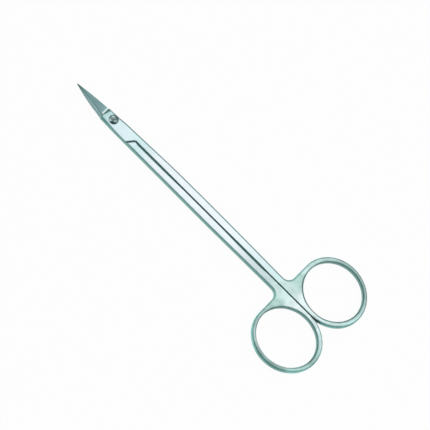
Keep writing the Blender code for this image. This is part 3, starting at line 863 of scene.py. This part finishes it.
def satinSteel(name, hand):
    # brushed flats, duller walls painted darker as shade, mottled web, and painted light and shade on
    # flats and rings; how level a face lies tells flat from wall
    n = newMaterial(name, metal)
    look = ownValues(satin, hand)
    place, normal = n.place(), n.add("NewGeometry").outputs["Normal"]
    x, y, _ = n.split(place)
    facingX, facingY, facingZ = n.split(normal)
    neckY, holeY = screwY - shank["neck"], screwY - ring["holeReach"][hand]
    holeMiddle = (hand * ring["holeSide"][hand], holeY, 0.0)
    fromHole = n.vector("MULTIPLY", n.vector("SUBTRACT", place, holeMiddle),
                        (2 / ring["holeWidth"], 2 / ring["holeLength"][hand], 0.0))
    outward = n.vector("NORMALIZE", fromHole)
    measures = {
        "side": n.math("ABSOLUTE", x), "neck": n.math("SUBTRACT", y, neckY),
        "hole": n.math("SUBTRACT", y, holeY), "share": n.length(fromHole), "right": facingX,
        "ahead": facingY, **{key: n.dot(normal, way) for key, way in satin["turns"].items()},
        **{key: n.dot(outward, way) for key, way in satin["ways"].items()},
    }

    def mask(key):
        return n.mask(measures, look[key])

    def tone(key):
        return n.blend(mask(key), 1.0, look[key + "Tone"])

    straight = grainNode(n, grainGroup, place, satin)
    bent = grainNode(n, turnedGroup, place, satin, Arm=satin["arm"], Centre=holeMiddle)
    grain = {key: n.blend(mask("pastNeck"), straight[key], bent[key]) for key in ("Lines", "Height")}
    # the flats' colour along Y: the steel's teal tint with painted light, lighter and darker stretches
    # of reflection
    flat = n.colourAlong(n.math("SUBTRACT", y, screwY), satin["flatTintAndLight"])
    flat = n.tinted(flat, tone("web"), tone("byNeck"))
    # painted shade on the rings' far sides, weaker towards the front of the hole
    flat = n.mix(n.times(mask("far"), tone("farFront")), flat, look["ringFarShade"])
    flat = n.mix(mask("lobe"), flat, satin["lobeColour"], "MULTIPLY")
    # walls painted darker as shade, those facing +X with a shade of their own; roundings blend them
    # into the flats
    wall = n.mix(mask("wall"), satin["side"], look["outside"])
    wallFrom = n.blend(mask("round"), satin["sideFrom"], look["outsideFrom"])
    level = n.ramp(n.math("ABSOLUTE", facingZ), wallFrom, satin["flatFrom"])

    # the hole's walls: painted shade and light by the way they face, with a painted highlight
    byHole = mask("byHole")
    holeTone = n.blend(mask("holeRight"), *look["holeTone"])
    holeTone = n.blend(byHole, 1.0, n.times(holeTone, tone("holeHighlight"), tone("holeLightShade")))
    # painted highlight on the rings' backs by the parting line
    # painted light on ring walls that face the tips
    colour = n.tinted(n.mix(level, wall, flat), holeTone, tone("front"), tone("crown"))
    # painted highlight along the lower ring's hole edge where it faces +X
    edge = n.times(byHole, mask("edge"), look["holeEdgeHighlightShare"])
    colour = n.mix(edge, colour, satin["holeEdgeHighlight"])
    mottle, deep = (n.shade(straight["Mottle"], satin[key]) for key in ("mottleTone", "webMottleTone"))
    # painted highlight on the lower ring's outer back
    # painted shade in the wedge where the rings part
    colour = n.tinted(colour, tone("wedgeShade"), tone("back"), n.blend(mask("webMottle"), mottle, deep),
                      n.shade(grain["Lines"], satin["lineTone"]))
    rough = n.shade(level, satin["rough"])
    return finishSteel(n, colour, rough, grain, satin)


def groundSteel(name, hand):
    # ground across, with lines along X; a darker line follows the ridge, at its share of the spine's
    # distance: foot width times (1 - u)(1 + bulge u)
    n = newMaterial(name, metal)
    place = n.place()
    turned = n.add("Mapping", {"Vector": place, "Rotation": (0, 0, ground["lineTurn"])}).outputs[0]
    grain = grainNode(n, grainGroup, turned, ground)
    x, y, _ = n.split(place)
    y = n.math("SUBTRACT", y, screwY)
    u = n.share(y, blade["foot"], blade["reach"])
    bulge = n.math("MULTIPLY_ADD", u, blade["bulge"][-hand], 1.0)
    ahead = n.math("SUBTRACT", 1.0, u)
    tipShare, footShare = blade["ridgeShares"]
    share = n.math("POWER", ahead, blade["ridgeCurve"])
    share = n.math("MULTIPLY_ADD", share, footShare - tipShare, tipShare)
    ridgeX = n.times(ahead, bulge, share, -hand * blade["width"][-hand])
    fromRidge = n.math("SUBTRACT", x, ridgeX)
    measures = {"along": y, "away": n.math("ABSOLUTE", fromRidge), "edge": n.times(fromRidge, hand)}
    onRidge = n.times(n.mask(measures, ground["onRidge"]), ground["ridgeShare"])
    colour = n.mix(onRidge, n.colourAlong(y, ground["faces"]), ground["ridge"])
    colour = n.mix(n.mask(measures, ground["onBevel"]), colour, n.colourAlong(y, ground["bevels"]))
    # the marks: a painted highlight before the shoulder, and the shoulder's low end
    colour = n.marked(colour, measures, ground["marks"])
    colour = n.tinted(colour, n.shade(grain["Lines"], ground["lineTone"]))
    return finishSteel(n, colour, ground["rough"], grain, ground)


def wornSteel(n, grain, finish, measures, marks):
    # two colours in spots, then marks, a mottle and the lines
    colour = n.mix(n.ramp(grain["Mottle"], *finish["spread"]), finish["colour"], finish["light"])
    colour = n.marked(colour, measures, marks)
    colour = n.tinted(colour, n.shade(grain["Mottle"], finish["mottleTone"]),
                      n.shade(grain["Lines"], finish["lineTone"]))
    return finishSteel(n, colour, finish["rough"], grain, finish)


def turnedSteel(name, finish):
    # rings round the screw's axis, left by sliding against the other half
    n = newMaterial(name, metal)
    grain = grainNode(n, turnedGroup, n.place(), finish, Arm=finish["arm"], Centre=(0.0, screwY, 0.0))
    return wornSteel(n, grain, finish, {}, [])


def screwSteel(name, finish):
    # scuffed straight across, with painted highlights and a painted shadow round the rim
    n = newMaterial(name, metal)
    place = n.place()
    grain = grainNode(n, grainGroup, place, finish)
    offset = n.vector("MULTIPLY", n.vector("SUBTRACT", place, (0.0, screwY, 0.0)), (1.0, 1.0, 0.0))
    outward = n.vector("NORMALIZE", offset)
    spot = n.length(n.vector("SUBTRACT", offset, finish["spot"]))
    measures = {"radius": n.length(offset), "spot": spot,
                **{key: n.dot(outward, way) for key, way in finish["ways"].items()}}
    return wornSteel(n, grain, finish, measures, finish["marks"])


slideSteel = turnedSteel("slidingFaceSteel", lapFace)


def makeHalf(name, hand, side):
    piece = forging(name, hand, satinSteel("satinSteel" + side, hand))
    cutLap(piece, hand, slideSteel)
    grindBlade(piece, hand, groundSteel("groundSteel" + side, hand))
    drillBore(piece, slideSteel)
    return piece


upperHalf = makeHalf("upperHalf", upperHand, "Upper")
drillSeat(upperHalf, screwSteel("screwSeatSteel", seat), slideSteel)
print("upper half:", len(upperHalf.data.vertices), "points")

lowerHalf = makeHalf("lowerHalf", lowerHand, "Lower")
print("lower half:", len(lowerHalf.data.vertices), "points")

headSteel = screwSteel("screwHeadSteel", head)
pivotScrew = makeScrew("pivotScrew", headSteel, screwSteel("screwSlotSteel", slot))
print("screw:", len(pivotScrew.data.vertices), "points")

for piece, node, body, slot in (
    (upperHalf, "upper_half", "upper", "upper_half_steel"),
    (lowerHalf, "lower_half", "lower", "lower_half_steel"),
    (pivotScrew, "pivot_screw", "lower", "screw_steel"),
):
    smooth(piece)
    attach(piece, body)
    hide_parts(node)


# Table, backdrop, light and camera

studio = {
    "floorColour": (0.95, 0.96, 0.96), "floorSize": 1.6, "floorDrop": 0.00002, "floorRough": 0.9,
    "backdropShare": 0.96,  # of plain white, to the camera and in reflections
    "horizon": (0.24, 0.32, 0.32), "zenith": (1.0, 1.0, 1.0),
    "domeLean": (0.34, -0.14, 0.93),  # direction of the dome's bright middle
    "domeSpread": (0.40, 0.88), "skyStrength": 0.95,
    "lamps": [("keyLight", (0.50, -0.20, 0.85), 0.6, 0.25),  # name, place, size and power
              ("fillLight", (0.25, -0.60, 0.60), 0.5, 0.15)],
}
camera = {
    "lens": 574.4, "sensor": 36.0, "near": 0.01, "distance": 3.0, "tilt": math.radians(18),
    "roll": math.radians(45.19), "target": (0.00281, -0.0032, 0.0),
}


def seenDirectly(n):
    path = n.add("LightPath").outputs
    seen = n.math("MAXIMUM", path["Is Camera Ray"], path["Is Glossy Ray"])
    return n.math("MAXIMUM", seen, path["Is Transmission Ray"])


def makeFloor():
    # part of what it shows is plain white, the rest keeps the shadow
    half = studio["floorSize"] / 2
    corners = [(-half, -half), (half, -half), (half, half), (-half, half)]
    mesh = bpy.data.meshes.new("floor")
    mesh.from_pydata([(*corner, -studio["floorDrop"]) for corner in corners], [], [(0, 1, 2, 3)])
    n = newMaterial("paleTable", {"Base Color": (*studio["floorColour"], 1.0),
                                  "Roughness": studio["floorRough"], "Specular IOR Level": 0.0})
    white = n.add("Emission", {"Color": (1, 1, 1, 1), "Strength": 1.0}).outputs[0]
    share = n.times(seenDirectly(n), studio["backdropShare"])
    mixed = n.add("MixShader", {0: share, 1: n.shader.outputs[0], 2: white}).outputs[0]
    n.feed(n.tree.nodes["Material Output"], {"Surface": mixed})
    mesh.materials.append(n.material)
    floor = addObject("floor", mesh)


def makeWorld():
    # soft dome, white round its middle and greyer away from it; the camera sees plain white
    world = bpy.data.worlds.new("softDome")
    world.use_nodes = True
    bpy.context.scene.world = world
    n = Nodes(world.node_tree)
    ray = n.add("TexCoord").outputs["Generated"]
    facing = n.ramp(n.dot(ray, studio["domeLean"]), *studio["domeSpread"])
    dome = n.mix(facing, studio["horizon"], studio["zenith"])
    seen = n.mix(n.add("LightPath").outputs["Is Camera Ray"], dome, (1, 1, 1))
    light = n.add("Background", {0: dome, 1: studio["skyStrength"]}).outputs[0]
    backdrop = n.add("Background", {0: seen, 1: 1.0}).outputs[0]
    mixed = n.add("MixShader", {0: seenDirectly(n), 1: light, 2: backdrop}).outputs[0]
    n.feed(world.node_tree.nodes["World Output"], {"Surface": mixed})


def addLamp(name, place, size, power):
    data = bpy.data.lights.new(name, "AREA")
    data.shape = "DISK"
    data.size = size
    data.energy = power
    lamp = addObject(name, data)
    lamp.location = place
    lamp.rotation_euler = (-Vector(place)).to_track_quat("-Z", "Y").to_euler()


def addCamera():
    # the tips point to the picture's upper left; the view leans over from the lower half's side
    tilt = camera["tilt"]
    forward = Vector((math.sin(tilt), 0.0, -math.cos(tilt)))
    aside = Vector((math.cos(tilt), 0.0, math.sin(tilt)))
    along = Vector((0.0, 1.0, 0.0))
    turnCos, turnSin = math.cos(camera["roll"]), math.sin(camera["roll"])
    right, up = aside * turnCos - along * turnSin, aside * turnSin + along * turnCos
    data = bpy.data.cameras.new("camera")
    data.lens = camera["lens"]
    data.sensor_width = camera["sensor"]
    data.clip_start = camera["near"]
    holder = bpy.context.scene.camera = addObject("camera", data)
    turn = Matrix((right, up, -forward)).transposed().to_4x4()
    place = Vector(camera["target"]) - forward * camera["distance"]
    holder.matrix_world = Matrix.Translation(place) @ turn


makeFloor()
makeWorld()
for lamp in studio["lamps"]:
    addLamp(*lamp)
addCamera()
bpy.context.scene.view_settings.view_transform = "Standard"
print("studio ready")
